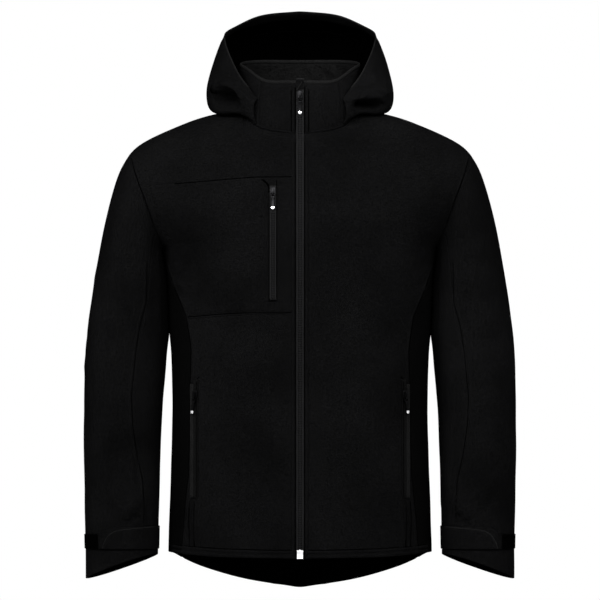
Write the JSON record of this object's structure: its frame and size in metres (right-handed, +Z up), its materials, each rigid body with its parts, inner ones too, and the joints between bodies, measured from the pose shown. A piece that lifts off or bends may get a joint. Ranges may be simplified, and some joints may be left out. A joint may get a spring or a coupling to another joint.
{
  "type": "softshell jacket",
  "caption": "Hooded softshell jacket with a full front zip, stand collar, zipped chest and hand pockets and tabbed cuffs, filled out as if worn but hollow",
  "frame": {"origin": "centre of the neck at the height where the shoulders meet it, where the wearer holds the jacket up", "axes": "Z up; the front faces -Y; the wearer's left is +X"},
  "size_m": [0.6698, 0.2821, 0.8981],
  "materials": {
    "shell_cloth": "matt black woven stretch shell cloth",
    "stretch_cloth": "smoother, darker black stretch cloth",
    "zip_tape": "dark grey woven zip tape with coil teeth",
    "loop_tape": "very dark loop side of touch tape",
    "dark_metal": "satin black painted zip sliders and pull tabs",
    "bright_metal": "bright bottom box of the front zip"
  },
  "bodies": {
    "jacket": {"back": "shell_cloth", "centre_zip_band": "zip_tape", "centre_zip_box": "bright_metal", "centre_zip_slider": "dark_metal", "chest_pocket_panel": "shell_cloth", "chest_zip_band": "zip_tape", "chest_zip_slider": "dark_metal", "collar_back": "shell_cloth", "collar_binding": "shell_cloth", "collar_front_left": "shell_cloth", "collar_front_right": "shell_cloth", "cuff_end_left": "shell_cloth", "cuff_end_right": "shell_cloth", "cuff_tab_left": "shell_cloth", "cuff_tab_right": "shell_cloth", "front_left": "shell_cloth", "front_lower_right": "shell_cloth", "front_yoke_right": "shell_cloth", "hand_pocket_left_slider": "dark_metal", "hand_pocket_right_slider": "dark_metal", "hand_pocket_welt_left": "shell_cloth", "hand_pocket_welt_right": "shell_cloth", "hand_pocket_zip_left": "zip_tape", "hand_pocket_zip_right": "zip_tape", "hood_left": "shell_cloth", "hood_right": "shell_cloth", "loop_patch_left": "loop_tape", "loop_patch_right": "loop_tape", "side_panel_left": "stretch_cloth", "side_panel_right": "stretch_cloth", "sleeve_top_left": "shell_cloth", "sleeve_top_right": "shell_cloth", "sleeve_under_left": "shell_cloth", "sleeve_under_right": "shell_cloth"},
    "centre_zip_pull": {"centre_zip_pull": "dark_metal"},
    "chest_zip_pull": {"chest_zip_pull": "dark_metal"},
    "hand_pocket_left_pull": {"hand_pocket_left_pull": "dark_metal"},
    "hand_pocket_right_pull": {"hand_pocket_right_pull": "dark_metal"}
  },
  "joints": [
    {"name": "centre_zip_pull_hinge", "type": "hinge", "parent": "jacket", "child": "centre_zip_pull", "pos_m": [0, -0.08249, 0.00996], "axis": [-1, 0, 0], "range_deg": [0, 130]},
    {"name": "chest_zip_pull_hinge", "type": "hinge", "parent": "jacket", "child": "chest_zip_pull", "pos_m": [-0.04173, -0.1275, -0.1377], "axis": [-0.9993, 0.0365, -0.0101], "range_deg": [0, 130]},
    {"name": "hand_pocket_left_pull_hinge", "type": "hinge", "parent": "jacket", "child": "hand_pocket_left_pull", "pos_m": [0.16338, -0.08565, -0.45146], "axis": [-0.7718, -0.6145, -0.1637], "range_deg": [0, 130]},
    {"name": "hand_pocket_right_pull_hinge", "type": "hinge", "parent": "jacket", "child": "hand_pocket_right_pull", "pos_m": [-0.16338, -0.08565, -0.45146], "axis": [-0.7718, 0.6145, 0.1637], "range_deg": [0, 130]}
  ]
}
